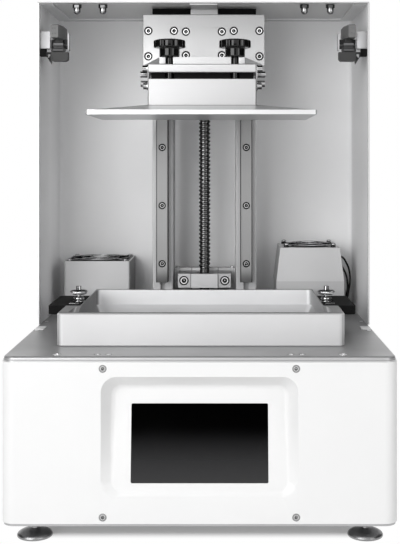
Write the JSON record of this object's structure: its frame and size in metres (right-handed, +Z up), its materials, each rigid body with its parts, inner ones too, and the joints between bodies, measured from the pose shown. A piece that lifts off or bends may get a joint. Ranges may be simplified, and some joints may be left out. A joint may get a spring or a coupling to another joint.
{
  "type": "resin 3d printer",
  "caption": "Desktop resin printer: a touch screen in its base, an open tower with twin rails and a ball screw, a build platform and a resin vat with clamps.",
  "frame": {"origin": "on the floor under the middle of the base", "axes": "+X to the right seen from the front, +Y from the front to the back, +Z up"},
  "size_m": [0.4, 0.37, 0.578],
  "materials": {
    "white_paint": "satin",
    "silver_paint": "satin",
    "anodised": "bead-blasted, anodised",
    "bright_aluminium": "machined",
    "grey_steel": "ground",
    "bright_steel": "nickel plated",
    "black_steel": "black oxide",
    "black_aluminium": "black anodised",
    "dark_grey_plastic": "moulded",
    "black_plastic": "moulded",
    "white_plastic": "moulded",
    "screen_glass": "polished",
    "foot_rubber": "matt",
    "clear_film": "clear",
    "lead_sheath": "matt",
    "circuit_board": "lacquered"
  },
  "bodies": {
    "frame": {"base_shell": "white_paint", "top_panel": "white_paint", "tower_shell": "silver_paint", "bottom_plate": "grey_steel", "deck_frame": "grey_steel", "deck_plate": "anodised", "cover_pads": "white_plastic", "touch_screen": "screen_glass", "mask_panel": "screen_glass", "uv_lamp": "anodised", "lamp_fan_frame": "black_plastic", "mainboard": "circuit_board", "power_supply": "anodised", "power_inlet": "black_plastic", "z_motor": "black_aluminium", "cap_nuts": "bright_steel", "hinge_bracket_left": "bright_steel", "hinge_bracket_right": "bright_steel", "hinge_dampers": "dark_grey_plastic", "columns": "anodised", "linear_rails": "grey_steel", "frame_screws": "bright_steel", "top_beam": "black_aluminium", "upper_bearing": "bright_aluminium", "lower_bearing": "bright_aluminium", "fan_box_left": "silver_paint", "duct_right": "silver_paint", "fan_left_frame": "black_plastic", "fan_right_frame": "black_plastic", "fan_leads": "lead_sheath", "vat_clamp_left": "black_aluminium", "vat_clamp_right": "black_aluminium"},
    "carriage": {"guide_blocks": "grey_steel", "carriage_plate": "bright_aluminium", "carriage_screws": "bright_steel", "ball_nut": "grey_steel", "arm": "bright_aluminium"},
    "lift_screw": {"ball_screw": "black_steel", "shaft_coupling": "bright_aluminium"},
    "platform": {"clamp_bar": "bright_aluminium", "levelling_pad": "black_aluminium", "platform_block": "bright_aluminium", "build_plate": "anodised", "side_links": "bright_steel"},
    "knob_left": {"knob_left": "black_plastic"},
    "knob_right": {"knob_right": "black_plastic"},
    "vat": {"vat_frame": "bright_aluminium", "film_frame": "clear_film"},
    "thumb_screw_left": {"thumb_screw_left": "bright_steel"},
    "thumb_screw_right": {"thumb_screw_right": "bright_steel"},
    "fan_left": {"fan_left_rotor": "black_plastic"},
    "fan_right": {"fan_right_rotor": "black_plastic"},
    "lamp_fan": {"lamp_fan_rotor": "black_plastic"},
    "hinge_cup_left": {"hinge_cup_left": "dark_grey_plastic"},
    "hinge_cup_right": {"hinge_cup_right": "dark_grey_plastic"},
    "power_switch": {"power_switch": "black_plastic"},
    "foot_front_left": {"foot_front_left": "foot_rubber"},
    "foot_front_right": {"foot_front_right": "foot_rubber"},
    "foot_rear_left": {"foot_rear_left": "foot_rubber"},
    "foot_rear_right": {"foot_rear_right": "foot_rubber"}
  },
  "joints": [
    {"name": "lift_slide", "type": "slide", "parent": "frame", "child": "carriage", "axis": [0, 0, 1], "range_m": [-0.2455, 0]},
    {"name": "lift_screw_spin", "type": "hinge", "parent": "frame", "child": "lift_screw", "pos_m": [0, 0.1, 0.2], "axis": [0, 0, 1], "continuous": true},
    {"name": "platform_slide", "type": "slide", "parent": "carriage", "child": "platform", "axis": [0, -1, 0], "range_m": [0, 0.1]},
    {"name": "knob_left_spin", "type": "hinge", "parent": "platform", "child": "knob_left", "pos_m": [-0.037, -0.047, 0.519], "axis": [0, 0, 1], "continuous": true},
    {"name": "knob_right_spin", "type": "hinge", "parent": "platform", "child": "knob_right", "pos_m": [0.037, -0.047, 0.519], "axis": [0, 0, 1], "continuous": true},
    {"name": "vat_slide", "type": "slide", "parent": "frame", "child": "vat", "axis": [0, -1, 0], "range_m": [0, 0.28]},
    {"name": "thumb_screw_left_spin", "type": "hinge", "parent": "frame", "child": "thumb_screw_left", "pos_m": [-0.142, -0.029, 0.232], "axis": [0, 0, 1], "continuous": true},
    {"name": "thumb_screw_right_spin", "type": "hinge", "parent": "frame", "child": "thumb_screw_right", "pos_m": [0.142, -0.029, 0.232], "axis": [0, 0, 1], "continuous": true},
    {"name": "fan_left_spin", "type": "hinge", "parent": "frame", "child": "fan_left", "pos_m": [-0.1365, 0.1406, 0.244], "axis": [0, 0, 1], "continuous": true},
    {"name": "fan_right_spin", "type": "hinge", "parent": "frame", "child": "fan_right", "pos_m": [0.1344, 0.143, 0.262], "axis": [0, 0, 1], "continuous": true},
    {"name": "lamp_fan_spin", "type": "hinge", "parent": "frame", "child": "lamp_fan", "pos_m": [0, -0.0222, 0.075], "axis": [0, 0, 1], "continuous": true},
    {"name": "hinge_cup_left_swing", "type": "hinge", "parent": "frame", "child": "hinge_cup_left", "pos_m": [-0.174, 0.027, 0.519], "axis": [-1, 0, 0], "range_deg": [0, 90]},
    {"name": "hinge_cup_right_swing", "type": "hinge", "parent": "frame", "child": "hinge_cup_right", "pos_m": [0.174, 0.027, 0.519], "axis": [-1, 0, 0], "range_deg": [0, 90]},
    {"name": "power_switch_rock", "type": "hinge", "parent": "frame", "child": "power_switch", "pos_m": [-0.15, 0.178, 0.067], "axis": [1, 0, 0], "range_deg": [-8, 8]},
    {"name": "foot_front_left_turn", "type": "hinge", "parent": "frame", "child": "foot_front_left", "pos_m": [-0.17, -0.155, 0.01], "axis": [0, 0, 1], "continuous": true},
    {"name": "foot_front_right_turn", "type": "hinge", "parent": "frame", "child": "foot_front_right", "pos_m": [0.17, -0.155, 0.01], "axis": [0, 0, 1], "continuous": true},
    {"name": "foot_rear_left_turn", "type": "hinge", "parent": "frame", "child": "foot_rear_left", "pos_m": [-0.17, 0.155, 0.01], "axis": [0, 0, 1], "continuous": true},
    {"name": "foot_rear_right_turn", "type": "hinge", "parent": "frame", "child": "foot_rear_right", "pos_m": [0.17, 0.155, 0.01], "axis": [0, 0, 1], "continuous": true}
  ],
  "couplings": [
    {"joint": "lift_screw_spin", "follows": "lift_slide", "rad_per_m": -1256.6}
  ]
}
